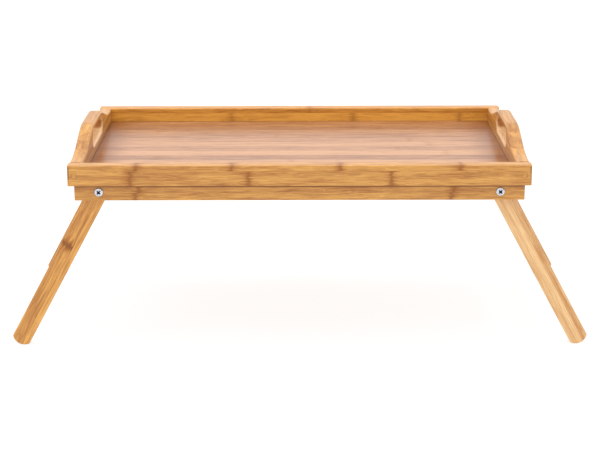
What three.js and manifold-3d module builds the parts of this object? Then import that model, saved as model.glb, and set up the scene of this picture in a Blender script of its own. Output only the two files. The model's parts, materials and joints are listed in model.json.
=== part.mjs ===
// Folding tray table: a bamboo tray with a hand hole in each end board, standing on two
// splayed leg frames that fold flat under the tray, each turning on a pair of bolts.
//
// Millimetres. X runs along the tray, Y from its front (-Y) to its back (+Y), and Z is up.
// The origin is on the floor under the middle of the tray, with the legs unfolded.

import * as THREE from "three";
import { mergeVertices } from "three/addons/utils/BufferGeometryUtils.js";
import Module from "manifold-3d";

const wasm = await Module();
wasm.setup();

// ---------------------------------------------------------------- driving dimensions

const tray = { length: 500, depth: 300 };
const rail = { thickness: 15, height: 23, topRadius: 2, edgeRadius: 1 };
const endBoard = {
  thickness: 15,
  edgeRadius: 3.5,
  handleRise: 20, // top of the handle over the top of the rails
  shoulderInset: 6.5, // from the end of the hand hole in to where the handle starts to fall
  heelInset: 33, // from the rail in to where the fall meets the low edge
  shoulderBlend: 12,
  heelBlend: 22,
};
const handHole = { length: 86, height: 17.5, topBelowHandle: 8.5 };
const panel = { drop: 16.5, thickness: 3, tongueThickness: 2.4, tongueLength: 2.8 };
const groove = { clearance: 0.2, depth: 3 };
const lowerRail = { height: 16.8, thickness: 13, setback: 4, endInset: 6.4, edgeRadius: 1 };
const leg = {
  width: 20.6,
  thickness: 12,
  reach: 205.5, // pivot centre to the tip of the foot
  splay: 28.65, // degrees outward from straight down
  footRadius: 12.5,
  edge: 0.8,
  foldClearance: 0.6, // folded leg to the underside of the panel
};
const pivotInset = 33; // from the end of the tray to the pivot centre
const crossbar = { width: 20, thickness: 10, fromPivot: 118, edge: 1, tenon: 8, tenonLength: 8 };
const bolt = {
  diameter: 5,
  head: 9.6,
  headHeight: 2.6,
  rim: 0.6, // height of the head's straight edge, under its dome
  tipChamfer: 0.5,
  recess: 6,
  recessWidth: 2,
  recessDepth: 1.7,
};
const spacer = { diameter: 14, thickness: 1 };
const washer = { diameter: 10, thickness: 1 };
const nut = { acrossFlats: 8, thickness: 5, threadShown: 1.5 };
const cornerPin = { diameter: 6, length: 30, sunk: 0.1 };
const woodScrew = { shank: 3, head: 6, headDepth: 1.8, rim: 0.3, grip: 11, edgeDistance: 4.6 };
const railScrewSpacing = 150;
const battenScrew = { spacing: 140, edgeDistance: 3.4 };
const battenEdge = 0.5;

// Clearances.
const seam = 0.2; // between pieces that are glued or screwed together
const play = 0.3; // between pieces that turn against each other
const holeClearance = 0.3; // on the radius, round bolts and tenons
const screwClearance = 0.2; // on the radius, round pins and wood screws
const stopClearance = 0.3; // unfolded leg to its stop batten

// How finely the shapes are built.
const facets = { bar: 16, screw: 12, bolt: 20, crown: 6, spacer: 12, washer: 10, nut: 16, leg: 8 };
const overshoot = 1; // how far a cutting solid reaches past the faces it cuts
const pointTolerance = 1e-4; // points nearer than this are one point
const endEaseShare = 0.8; // of a bar's smallest corner radius, for the easing of its ends

// ---------------------------------------------------------------- places worked out from them

const splay = THREE.MathUtils.degToRad(leg.splay);
const halfLength = tray.length / 2;
const halfDepth = tray.depth / 2;
const panelUnderside = panel.drop + panel.thickness;
const pivotDrop = panelUnderside + leg.foldClearance + leg.width / 2;
const pivotX = halfLength - pivotInset;
const pivotZ = (leg.reach - leg.footRadius) * Math.cos(splay) + leg.footRadius;
const railTop = pivotZ + pivotDrop;
const railBottom = railTop - rail.height;
const railInnerY = halfDepth - rail.thickness;
const boardInnerX = halfLength - endBoard.thickness;
const grooveBottom = railTop - panelUnderside - groove.clearance;
const grooveTop = railTop - panelUnderside + panel.tongueThickness + groove.clearance;
const lowerTop = railBottom - seam;
const lowerBottom = lowerTop - lowerRail.height;
const lowerOuterY = halfDepth - lowerRail.setback;
const lowerInnerY = lowerOuterY - lowerRail.thickness;
const lowerEndX = halfLength - lowerRail.endInset;
const legOuterY = lowerInnerY - spacer.thickness - 2 * play;
const legInnerY = legOuterY - leg.thickness;
const pinZ = railTop - rail.height / 2;

// ---------------------------------------------------------------- materials

function finish(color, roughness, metalness = 0) {
  return { color, roughness, metalness };
}

const finishes = {
  trayWood: finish(0xd49a58, 0.45),
  legWood: finish(0xd6a062, 0.45),
  panelWood: finish(0xdcae88, 0.4),
  pinWood: finish(0xc48a4a, 0.55),
  chrome: finish(0xd8d8da, 0.15, 1),
  zinc: finish(0xb4b4b0, 0.35, 1),
  nylon: finish(0xe8e6de, 0.5),
};

// ---------------------------------------------------------------- solids

const axisX = new THREE.Vector3(1, 0, 0);
const axisY = new THREE.Vector3(0, 1, 0);
const axisZ = new THREE.Vector3(0, 0, 1);
// Outline x and y and the extrusion, turned to row axes.
const alongX = new THREE.Matrix4().makeBasis(axisY, axisZ, axisX);
const alongY = new THREE.Matrix4().makeBasis(axisX, axisZ, axisY.clone().negate());

function toSolid(geometry) {
  const bare = geometry.clone();
  bare.deleteAttribute("normal");
  bare.deleteAttribute("uv");
  const merged = mergeVertices(bare, pointTolerance);
  const vertProperties = new Float32Array(merged.attributes.position.array);
  const corners = Array.from(merged.index.array);
  const faces = [];
  for (let first = 0; first < corners.length; first += 3) {
    const [a, b, c] = corners.slice(first, first + 3);
    if (a !== b && b !== c && c !== a) {
      faces.push(a, b, c);
    }
  }
  const triVerts = new Uint32Array(faces);
  return new wasm.Manifold(new wasm.Mesh({ numProp: 3, vertProperties, triVerts }));
}

function toGeometry(solid) {
  const mesh = solid.getMesh();
  const geometry = new THREE.BufferGeometry();
  geometry.setAttribute("position", new THREE.BufferAttribute(mesh.vertProperties, 3));
  geometry.setIndex(new THREE.BufferAttribute(mesh.triVerts, 1));
  geometry.computeVertexNormals();
  return geometry;
}

function cut(geometry, tools) {
  return toGeometry(tools.reduce((body, tool) => body.subtract(toSolid(tool)), toSolid(geometry)));
}

function join(geometry, pieces) {
  return toGeometry(pieces.reduce((body, piece) => body.add(toSolid(piece)), toSolid(geometry)));
}

function box(low, high) {
  const size = new THREE.Vector3().subVectors(high, low);
  const middle = new THREE.Vector3().addVectors(low, high).multiplyScalar(0.5);
  return new THREE.BoxGeometry(size.x, size.y, size.z).translate(middle.x, middle.y, middle.z);
}

function boxOf(x0, x1, y0, y1, z0, z1) {
  return box(new THREE.Vector3(x0, y0, z0), new THREE.Vector3(x1, y1, z1));
}

// A round bar from y0 to y1.
function barY(radius, x, z, y0, y1) {
  const bar = new THREE.CylinderGeometry(radius, radius, y1 - y0, facets.bar);
  return bar.translate(x, (y0 + y1) / 2, z);
}

// A turned piece whose profile runs from the axis round to the axis, standing along +Z.
function turned(profile, sides) {
  const points = profile.map(([radius, height]) => new THREE.Vector2(radius, height));
  return new THREE.LatheGeometry(points, sides).rotateX(Math.PI / 2);
}

// A rectangle with its own radius at each corner, in the order low left, low right,
// high right, high left.
function roundedRectangle(x0, x1, y0, y1, radii) {
  const [lowLeft, lowRight, highRight, highLeft] = radii;
  const shape = new THREE.Shape();
  shape.moveTo(x0 + lowLeft, y0);
  shape.lineTo(x1 - lowRight, y0);
  shape.absarc(x1 - lowRight, y0 + lowRight, lowRight, -Math.PI / 2, 0);
  shape.lineTo(x1, y1 - highRight);
  shape.absarc(x1 - highRight, y1 - highRight, highRight, 0, Math.PI / 2);
  shape.lineTo(x0 + highLeft, y1);
  shape.absarc(x0 + highLeft, y1 - highLeft, highLeft, Math.PI / 2, Math.PI);
  shape.lineTo(x0, y0 + lowLeft);
  shape.absarc(x0 + lowLeft, y0 + lowLeft, lowLeft, Math.PI, 1.5 * Math.PI);
  return shape;
}

function withoutRepeats(points) {
  return points.filter((point, index) => {
    const next = points[(index + 1) % points.length];
    return point.distanceTo(next) > pointTolerance;
  });
}

// The outline and its holes as points, without the repeats where its curves join.
function asPoints(shape, curveSegments) {
  const { shape: outer, holes } = shape.extractPoints(curveSegments);
  const plain = new THREE.Shape(withoutRepeats(outer));
  plain.holes = holes.map((hole) => new THREE.Path(withoutRepeats(hole)));
  return plain;
}

// An outline extruded over a whole length, with its end edges eased inside that length.
// A hole's edges are eased outward from its outline.
function extrude(shape, length, ease, curveSegments, bevelSegments = 1) {
  return new THREE.ExtrudeGeometry(asPoints(shape, curveSegments), {
    depth: length - 2 * ease,
    bevelEnabled: ease > 0,
    bevelThickness: ease,
    bevelSize: ease,
    bevelOffset: -ease,
    bevelSegments,
  }).translate(0, 0, ease);
}

// A bar of even section along X, from -x1 to x1. The outline is given in Y and Z, and its
// smallest corner radius is a little more than the ease at the bar's ends.
function barAlongX(shape, x1, smallestRadius, curveSegments) {
  const bar = extrude(shape, 2 * x1, endEaseShare * smallestRadius, curveSegments);
  return bar.translate(0, 0, -x1).applyMatrix4(alongX);
}

// ---------------------------------------------------------------- wood screws and pins

// A countersunk screw that is driven upward, with the top of its head at height z.
function woodScrewSolid(x, y, z, length, grow = 0) {
  const shank = woodScrew.shank / 2 + grow;
  const head = woodScrew.head / 2 + grow;
  const tip = length + grow;
  const profile = [
    [0, -grow],
    [head, -grow],
    [head, woodScrew.rim],
    [shank, woodScrew.headDepth],
    [shank, tip - 2 * shank],
    [0, tip],
  ];
  return turned(profile, facets.screw).translate(x, y, z);
}

// The stop battens are as high as the lower rails, so all the screws are of one length.
const screwLength = lowerRail.height + seam + woodScrew.grip;
const screwSeatZ = lowerBottom + woodScrew.rim;
const railScrewY = lowerOuterY - woodScrew.edgeDistance;
const battenScrewX = lowerEndX - battenScrew.edgeDistance;

function railScrews(side, grow = 0) {
  const places = [-railScrewSpacing, 0, railScrewSpacing];
  return places.map((x) => woodScrewSolid(x, side * railScrewY, screwSeatZ, screwLength, grow));
}

function battenScrews(end, grow = 0) {
  const places = [-battenScrew.spacing / 2, battenScrew.spacing / 2];
  return places.map((y) => woodScrewSolid(end * battenScrewX, y, screwSeatZ, screwLength, grow));
}

function cornerPinSolid(end, side, grow = 0) {
  const x = end * (halfLength - endBoard.thickness / 2);
  const outer = side * (halfDepth + (grow > 0 ? grow : -cornerPin.sunk));
  const inner = side * (halfDepth - cornerPin.length - grow);
  const radius = cornerPin.diameter / 2 + grow;
  return barY(radius, x, pinZ, Math.min(outer, inner), Math.max(outer, inner));
}

// ---------------------------------------------------------------- tray

function railGeometry(side) {
  const inner = railInnerY;
  const { topRadius, edgeRadius } = rail;
  const radii = [edgeRadius, edgeRadius, topRadius, topRadius];
  const section = roundedRectangle(inner, halfDepth, railBottom, railTop, radii);
  const bar = barAlongX(section, halfLength, rail.edgeRadius, 3);
  if (side < 0) {
    bar.rotateZ(Math.PI);
  }
  const grooveX = boardInnerX + groove.depth;
  const slot = boxOf(-grooveX, grooveX, inner - overshoot, inner + groove.depth, grooveBottom, grooveTop);
  if (side < 0) {
    slot.rotateZ(Math.PI);
  }
  const pins = [-1, 1].map((end) => cornerPinSolid(end, side, screwClearance));
  return cut(bar, [slot, ...pins, ...railScrews(side, screwClearance)]);
}

// The end board seen along X, reaching past its ends and its lower edge, which are cut later.
function boardOutline() {
  const low = railTop;
  const high = railTop + endBoard.handleRise;
  const bottom = railBottom - 2 * endBoard.edgeRadius;
  const end = railInnerY + 2 * endBoard.edgeRadius;
  const { shoulderBlend, heelBlend } = endBoard;
  const shoulder = handHole.length / 2 - endBoard.shoulderInset;
  const heel = railInnerY - endBoard.heelInset;
  const fall = endBoard.handleRise / (heel - shoulder);
  const shape = new THREE.Shape();
  shape.moveTo(-end, bottom);
  shape.lineTo(end, bottom);
  shape.lineTo(end, low);
  shape.lineTo(heel + heelBlend, low);
  shape.quadraticCurveTo(heel, low, heel - heelBlend, low + fall * heelBlend);
  shape.lineTo(shoulder + shoulderBlend, high - fall * shoulderBlend);
  shape.quadraticCurveTo(shoulder, high, shoulder - shoulderBlend, high);
  shape.lineTo(shoulderBlend - shoulder, high);
  shape.quadraticCurveTo(-shoulder, high, -shoulder - shoulderBlend, high - fall * shoulderBlend);
  shape.lineTo(heelBlend - heel, low + fall * heelBlend);
  shape.quadraticCurveTo(-heel, low, -heel - heelBlend, low);
  shape.lineTo(-end, low);
  shape.closePath();
  shape.holes.push(handHoleOutline(high - handHole.topBelowHandle));
  return shape;
}

function handHoleOutline(top) {
  const radius = handHole.height / 2;
  const centre = handHole.length / 2 - radius;
  const middle = top - radius;
  const path = new THREE.Path();
  path.moveTo(-centre, middle + radius);
  path.absarc(-centre, middle, radius, Math.PI / 2, 1.5 * Math.PI);
  path.lineTo(centre, middle - radius);
  path.absarc(centre, middle, radius, -Math.PI / 2, Math.PI / 2);
  path.lineTo(-centre, middle + radius);
  return path;
}

function endBoardGeometry(end) {
  const { thickness, edgeRadius, handleRise } = endBoard;
  const board = extrude(boardOutline(), thickness, edgeRadius, 5, 3).applyMatrix4(alongX);
  board.translate(boardInnerX, 0, 0);
  const endFace = railInnerY - seam;
  const innerX = boardInnerX - overshoot;
  const outerX = halfLength + overshoot;
  const keep = boxOf(innerX, outerX, -endFace, endFace, railBottom, railTop + handleRise + overshoot);
  const trimmed = toGeometry(toSolid(board).intersect(toSolid(keep)));
  const slotEnd = boardInnerX + groove.depth;
  const slot = boxOf(innerX, slotEnd, -halfDepth, halfDepth, grooveBottom, grooveTop);
  if (end < 0) {
    trimmed.rotateZ(Math.PI);
    slot.rotateZ(Math.PI);
  }
  const pins = [-1, 1].map((side) => cornerPinSolid(end, side, screwClearance));
  return cut(trimmed, [slot, ...pins, ...battenScrews(end, screwClearance)]);
}

// The panel's upper face ends just inside the rails, and a thinner tongue runs into the grooves.
function panelGeometry() {
  const x = boardInnerX - seam;
  const y = railInnerY - seam;
  const underside = railTop - panelUnderside;
  const tongueX = boardInnerX + panel.tongueLength;
  const tongueY = railInnerY + panel.tongueLength;
  const tongue = boxOf(-tongueX, tongueX, -tongueY, tongueY, underside, underside + panel.tongueThickness);
  return join(boxOf(-x, x, -y, y, underside, railTop - panel.drop), [tongue]);
}

// ---------------------------------------------------------------- under-frame

function boltHole(end, side) {
  const inner = side * (lowerInnerY - overshoot);
  const outer = side * (lowerOuterY + overshoot);
  const radius = bolt.diameter / 2 + holeClearance;
  return barY(radius, end * pivotX, pivotZ, Math.min(inner, outer), Math.max(inner, outer));
}

function lowerRailGeometry(side) {
  const radii = Array(4).fill(lowerRail.edgeRadius);
  const section = roundedRectangle(lowerInnerY, lowerOuterY, lowerBottom, lowerTop, radii);
  const bar = barAlongX(section, lowerEndX, lowerRail.edgeRadius, 2);
  if (side < 0) {
    bar.rotateZ(Math.PI);
  }
  const holes = [-1, 1].map((end) => boltHole(end, side));
  return cut(bar, [...holes, ...railScrews(side, screwClearance)]);
}

// How far from the middle the outer face of an unfolded leg is, at a height.
function legOuterFaceX(z) {
  const below = pivotZ - z;
  return pivotX + leg.width / 2 / Math.cos(splay) + below * Math.tan(splay);
}

// The batten's inner face stands where the leg's outer face passes its lower edge.
function battenGeometry(end) {
  const innerX = legOuterFaceX(lowerBottom) + stopClearance / Math.cos(splay);
  const endY = lowerInnerY - seam;
  const radii = Array(4).fill(battenEdge);
  const section = roundedRectangle(-endY, endY, lowerBottom, lowerTop, radii);
  const bar = extrude(section, lowerEndX - innerX, 0, 1).applyMatrix4(alongX);
  bar.translate(innerX, 0, 0);
  if (end < 0) {
    bar.rotateZ(Math.PI);
  }
  return cut(bar, battenScrews(end, screwClearance));
}

// ---------------------------------------------------------------- pivots

// The bolt runs inward along +Y from its head, for a front corner at the origin.
function boltGeometry() {
  const { head, headHeight, rim, tipChamfer, recess, recessWidth, recessDepth } = bolt;
  const shank = bolt.diameter / 2;
  const wood = lowerRail.thickness + leg.thickness;
  const stack = wood + spacer.thickness + washer.thickness + nut.thickness;
  const length = stack + 3 * play + seam + nut.threadShown;
  const profile = [[0, length], [shank - tipChamfer, length], [shank, length - tipChamfer]];
  profile.push([shank, -seam], [head / 2, -seam], [head / 2, -seam - rim]);
  for (let step = 1; step < facets.crown; step += 1) {
    const angle = (step / facets.crown) * (Math.PI / 2);
    const height = rim + (headHeight - rim) * Math.sin(angle);
    profile.push([(head / 2) * Math.cos(angle), -seam - height]);
  }
  profile.push([0, -seam - headHeight]);
  const points = profile.map(([radius, y]) => new THREE.Vector2(radius, y)).reverse();
  const body = new THREE.LatheGeometry(points, facets.bolt);
  const top = -seam - headHeight;
  const slots = [Math.PI / 4, -Math.PI / 4].map((turn) => {
    const low = new THREE.Vector3(-recess / 2, top - overshoot, -recessWidth / 2);
    const high = new THREE.Vector3(recess / 2, top + recessDepth, recessWidth / 2);
    return box(low, high).rotateY(turn);
  });
  return cut(body, slots);
}

function ringGeometry(outerRadius, innerRadius, thickness, sides) {
  const shape = new THREE.Shape().absarc(0, 0, outerRadius, 0, 2 * Math.PI);
  shape.holes.push(new THREE.Path().absarc(0, 0, innerRadius, 0, 2 * Math.PI, true));
  return extrude(shape, thickness, 0, sides).applyMatrix4(alongY);
}

function nutGeometry() {
  const corner = nut.acrossFlats / Math.sqrt(3);
  const shape = new THREE.Shape();
  for (let side = 0; side < 6; side += 1) {
    const angle = (side * Math.PI) / 3;
    shape[side ? "lineTo" : "moveTo"](corner * Math.cos(angle), corner * Math.sin(angle));
  }
  shape.closePath();
  shape.holes.push(new THREE.Path().absarc(0, 0, bolt.diameter / 2 + screwClearance, 0, 2 * Math.PI, true));
  return extrude(shape, nut.thickness, 0, facets.nut).applyMatrix4(alongY);
}

// ---------------------------------------------------------------- leg frames

// A leg hangs from its pivot at the origin, foot down, with its outer face at y = 0.
function legGeometry(side) {
  const half = leg.width / 2;
  const footAngle = Math.asin(half / leg.footRadius);
  const footCentre = leg.footRadius - leg.reach;
  const shape = new THREE.Shape();
  shape.absarc(0, 0, half, 0, Math.PI);
  shape.absarc(0, footCentre, leg.footRadius, 1.5 * Math.PI - footAngle, 1.5 * Math.PI + footAngle);
  shape.closePath();
  const holeRadius = bolt.diameter / 2 + holeClearance;
  shape.holes.push(new THREE.Path().absarc(0, 0, holeRadius, 0, 2 * Math.PI, true));
  const body = extrude(shape, leg.thickness, leg.edge, facets.leg).applyMatrix4(alongY);
  body.translate(0, leg.thickness / 2, 0);
  const inward = -side;
  const mouth = inward * (leg.thickness / 2 + overshoot);
  const bottom = inward * (leg.thickness / 2 - crossbar.tenonLength - holeClearance);
  const radius = crossbar.tenon / 2 + holeClearance;
  const low = Math.min(mouth, bottom);
  const high = Math.max(mouth, bottom);
  return cut(body, [barY(radius, 0, -crossbar.fromPivot, low, high)]);
}

function crossbarGeometry() {
  const endY = legInnerY - play;
  const { width, thickness, edge, tenon, tenonLength } = crossbar;
  const radii = Array(4).fill(edge);
  const section = roundedRectangle(-thickness / 2, thickness / 2, -width / 2, width / 2, radii);
  const bar = extrude(section, 2 * endY, 0, 2).applyMatrix4(alongY).translate(0, endY, 0);
  const tenonEnd = legInnerY + tenonLength;
  const tenons = barY(tenon / 2, 0, 0, -tenonEnd, tenonEnd);
  return join(bar, [tenons]).translate(0, 0, -crossbar.fromPivot);
}

// ---------------------------------------------------------------- assembly

const group = new THREE.Group();

function place(parent, name, geometry, look, position = [0, 0, 0], turn = 0) {
  const mesh = new THREE.Mesh(geometry, new THREE.MeshStandardMaterial(look));
  mesh.name = name;
  mesh.position.set(...position);
  mesh.rotation.z = turn;
  parent.add(mesh);
}

const sides = { front: -1, back: 1 };
const ends = { left: -1, right: 1 };

// The fixed pieces of one pivot, stacked inward from the face of the lower rail.
function placePivot(corner, end, side) {
  const turn = side < 0 ? 0 : Math.PI;
  const at = (y) => [end * pivotX, side * y, pivotZ];
  const washerY = legInnerY - play;
  const nutY = washerY - washer.thickness - seam;
  const holeRadius = bolt.diameter / 2 + screwClearance;
  const spacerRing = ringGeometry(spacer.diameter / 2, holeRadius, spacer.thickness, facets.spacer);
  const washerRing = ringGeometry(washer.diameter / 2, holeRadius, washer.thickness, facets.washer);
  // Rings and nuts are built towards -Y, so they are placed by their inner face.
  place(group, `${corner}_pivot_bolt`, boltGeometry(), finishes.chrome, at(lowerOuterY), turn);
  const spacerInner = lowerInnerY - play - spacer.thickness;
  place(group, `${corner}_spacer_washer`, spacerRing, finishes.nylon, at(spacerInner), turn);
  place(group, `${corner}_nut_washer`, washerRing, finishes.zinc, at(washerY - washer.thickness), turn);
  place(group, `${corner}_lock_nut`, nutGeometry(), finishes.zinc, at(nutY - nut.thickness), turn);
}

for (const [sideName, side] of Object.entries(sides)) {
  place(group, `${sideName}_rail`, railGeometry(side), finishes.trayWood);
  place(group, `${sideName}_lower_rail`, lowerRailGeometry(side), finishes.trayWood);
  railScrews(side).forEach((screw, index) => {
    place(group, `${sideName}_rail_screw_${index + 1}`, screw, finishes.zinc);
  });
}

for (const [endName, end] of Object.entries(ends)) {
  place(group, `${endName}_end_board`, endBoardGeometry(end), finishes.trayWood);
  place(group, `${endName}_stop_batten`, battenGeometry(end), finishes.trayWood);
  battenScrews(end).forEach((screw, index) => {
    place(group, `${endName}_batten_screw_${index + 1}`, screw, finishes.zinc);
  });

  const legFrame = new THREE.Group();
  legFrame.position.set(end * pivotX, 0, pivotZ);
  legFrame.rotation.y = -end * splay;
  group.add(legFrame);
  place(legFrame, `${endName}_crossbar`, crossbarGeometry(), finishes.legWood);

  for (const [sideName, side] of Object.entries(sides)) {
    const corner = `${sideName}_${endName}`;
    const legY = (side * (legOuterY + legInnerY)) / 2;
    place(legFrame, `${corner}_leg`, legGeometry(side), finishes.legWood, [0, legY, 0]);
    place(group, `${corner}_corner_pin`, cornerPinSolid(end, side), finishes.pinWood);
    placePivot(corner, end, side);
  }
}

place(group, "base_panel", panelGeometry(), finishes.panelWood);

export default group;
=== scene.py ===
"""A bamboo folding tray table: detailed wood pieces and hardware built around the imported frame.

Every piece is modelled in its own axes and then placed: x runs along the grain of the wood, y across
it and z through its thickness. The wood materials read those axes, so the grain turns with the piece.
Screws, bolts, nuts and washers are made about their own z. Lengths are in metres.
"""

import json
import math

import bmesh
import bpy
from mathutils import Matrix, Vector


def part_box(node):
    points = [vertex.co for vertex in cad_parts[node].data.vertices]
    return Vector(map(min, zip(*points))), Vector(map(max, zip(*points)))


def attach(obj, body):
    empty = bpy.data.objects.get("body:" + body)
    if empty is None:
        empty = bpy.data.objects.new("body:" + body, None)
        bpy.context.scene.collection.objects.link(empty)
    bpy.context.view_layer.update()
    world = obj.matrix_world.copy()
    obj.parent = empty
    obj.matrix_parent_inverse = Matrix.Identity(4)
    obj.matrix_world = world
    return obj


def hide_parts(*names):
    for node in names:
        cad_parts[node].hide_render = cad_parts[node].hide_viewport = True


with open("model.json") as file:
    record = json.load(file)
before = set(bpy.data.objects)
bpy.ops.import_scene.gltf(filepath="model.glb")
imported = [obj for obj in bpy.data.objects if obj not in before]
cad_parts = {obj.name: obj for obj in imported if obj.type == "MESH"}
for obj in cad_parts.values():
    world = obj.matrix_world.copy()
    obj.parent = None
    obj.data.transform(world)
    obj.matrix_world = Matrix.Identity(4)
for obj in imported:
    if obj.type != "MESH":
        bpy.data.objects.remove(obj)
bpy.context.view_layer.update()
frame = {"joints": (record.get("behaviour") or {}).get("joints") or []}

MM = 0.001
SIDES = {"front": -1, "back": 1}
ENDS = {"left": -1, "right": 1}

# ---------------------------------------------------------------- sizes

# How far a cutter passes the face that it opens, and how many sides round forms have.
OVERSHOOT = 1 * MM
FACETS = {"small": 40, "countersink": 32, "washer": 56, "insert": 48, "head": 64}
RAIL_TOP_EDGE = 2 * MM
RAIL_EDGE = 1 * MM
GROOVE = {"depth": 3 * MM, "clearance": 0.2 * MM}
TONGUE = {"length": 3 * MM, "thickness": 2.4 * MM}
PANEL = {"corner": 0.5 * MM, "edge": 0.2 * MM}
BOARD_EDGE = 3.5 * MM
# The share of that edge which the board's lower corners have.
BOARD_FOOT_SHARE = 0.1
SHOULDER_INSET = 6.5 * MM
HEEL_INSET = 33 * MM
SHOULDER_BLEND = 12 * MM
HEEL_BLEND = 22 * MM
HAND_HOLE = {"length": 86 * MM, "height": 17.5 * MM, "below_top": 8.5 * MM}
SMALL_EDGE = 0.5 * MM
LEG_EDGE = 0.8 * MM
FOOT_RADIUS = 12.5 * MM
HOLE_RADIUS = 2.8 * MM
TENON = {"radius": 4 * MM, "length": 8 * MM, "clearance": 0.3 * MM, "chamfer": 0.6 * MM}
CROSSBAR = {"width": 20 * MM, "thickness": 10 * MM, "edge": 1 * MM, "gap": 0.3 * MM}
PIN = {"flutes": 18, "flute_depth": 0.06 * MM, "edge": 0.15 * MM, "clearance": 0.12 * MM}
BOLT = {"diameter": 5 * MM, "rim": 0.6 * MM, "chamfer": 0.15 * MM, "seat_gap": 0.2 * MM}
BOLT_CROWN_STEPS = 8
BOLT_HOLE = BOLT["diameter"] / 2 + 0.2 * MM
THREAD = {"length": 9 * MM, "pitch": 0.8 * MM, "depth": 0.35 * MM, "overlap": 0.2 * MM}
SCREW = {"shank": 3 * MM, "head_depth": 1.8 * MM, "rim": 0.3 * MM, "chamfer": 0.1 * MM, "tip": 2.5 * MM}
SCREW_CORE_SHARE = 0.72
SCREW_TAPER_SHARES = (0.35, 0.37)
BOLT_RECESS = {"length": 6 * MM, "width": 2 * MM, "depth": 1.9 * MM}
SCREW_RECESS = {"length": 3.4 * MM, "width": 0.8 * MM, "depth": 1.3 * MM}
RECESS_BOTTOM_SHARES = {"length": 0.55, "width": 0.6}
RAIL_SCREWS = 3
BATTEN_SCREWS = 2
SPACER_EDGE = 0.3 * MM
WASHER_EDGE = 0.15 * MM
NUT = {"hex": 3.7 * MM, "edge": 0.05 * MM, "collar": 3.65 * MM, "rim": 0.35 * MM, "root": 1 * MM}
INSERT = {"radius": 3.1 * MM, "seat": 0.4 * MM, "gap": 0.02 * MM, "sunk": 0.25 * MM, "edge": 0.15 * MM}
INSERT_HOLE = BOLT["diameter"] / 2 + 0.05 * MM

# How wide the strips are that each wood is glued up from.
STRIPS = {"rail_top": 6.4 * MM, "board": 5.2 * MM, "panel": 21 * MM, "lower": 8.4 * MM}
STRIPS.update({"leg": 6.9 * MM, "crossbar": 6.7 * MM, "pin": 20 * MM})
SEEDS = {"front_rail": 2.0, "back_rail": 9.0, "board": 15.0, "hand_hole": 19.0, "pin": 31.0}
SEEDS.update({"panel": 40.0, "lower_rail": 52.0, "batten": 61.0, "leg": 70.0, "crossbar": 81.0})


# ---------------------------------------------------------------- outlines

def arc(x, y, radius, start, end, steps):
    """Points on an arc, from one angle to another in degrees, both ends included."""
    points = []
    for step in range(steps + 1):
        angle = math.radians(start + (end - start) * step / steps)
        points.append(Vector((x + radius * math.cos(angle), y + radius * math.sin(angle))))
    return points


def circle(radius, steps):
    return arc(0, 0, radius, 0, 360, steps)[:-1]


def rectangle(x0, x1, y0, y1, radius, steps=4):
    """A rectangle with rounded corners, anticlockwise from its lower right corner."""
    corners = [(x1 - radius, y0 + radius, -90), (x1 - radius, y1 - radius, 0)]
    corners += [(x0 + radius, y1 - radius, 90), (x0 + radius, y0 + radius, 180)]
    points = []
    for x, y, start in corners:
        points += arc(x, y, radius, start, start + 90, steps)
    return points


def bend(start, corner, end, steps=8):
    """A smooth curve from start to end that is pulled toward corner."""
    points = []
    for step in range(steps + 1):
        t = step / steps
        points.append(start * (1 - t) ** 2 + corner * 2 * t * (1 - t) + end * t ** 2)
    return points


def moved_in(outline, distances):
    """The outline with each point moved inward by its own distance, for an anticlockwise outline."""
    moved = []
    for index, point in enumerate(outline):
        before = (point - outline[index - 1]).normalized()
        after = (outline[(index + 1) % len(outline)] - point).normalized()
        inward = Vector((-before.y - after.y, before.x + after.x))
        moved.append(point + inward * distances[index] / (1 + before.dot(after)))
    return moved


# ---------------------------------------------------------------- solids

def rounded_profile(ease, steps):
    """Pairs of (inset, height) for a quarter round, from the flat face to the wall."""
    pairs = []
    for step in range(steps + 1):
        angle = math.pi / 2 * step / steps
        pairs.append((ease * (1 - math.sin(angle)), ease * (1 - math.cos(angle))))
    return pairs


def extruded(outer, low, high, ease, holes=(), steps=4, weights=None):
    """A solid with the given outline from z = low to z = high, and rounded edges.

    weights scales the rounding at each point of the outer outline. Holes are clockwise outlines.
    """
    solid = bmesh.new()
    rounding = rounded_profile(ease, steps)
    rims = []
    for outline in [outer, *holes]:
        scale = weights if weights and outline is outer else [1.0] * len(outline)
        rings = []
        for inset, height in rounding:
            flat = moved_in(outline, [inset * share for share in scale])
            rings.append([(p.x, p.y, low + height * share) for p, share in zip(flat, scale)])
        for inset, height in reversed(rounding):
            flat = moved_in(outline, [inset * share for share in scale])
            rings.append([(p.x, p.y, high - height * share) for p, share in zip(flat, scale)])
        vertex_rings = [[solid.verts.new(place) for place in ring] for ring in rings]
        rims.append((vertex_rings[0], vertex_rings[-1]))
        count = len(outline)
        for below, above in zip(vertex_rings, vertex_rings[1:]):
            for index in range(count):
                following = (index + 1) % count
                solid.faces.new((below[index], below[following], above[following], above[index]))
    for end in (0, 1):
        edges = []
        for rim in rims:
            ring = rim[end]
            for index, vertex in enumerate(ring):
                edges.append(solid.edges.get((vertex, ring[(index + 1) % len(ring)])))
        bmesh.ops.triangle_fill(solid, use_beauty=True, use_dissolve=False, edges=edges)
    bmesh.ops.recalc_face_normals(solid, faces=solid.faces)
    return solid


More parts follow.
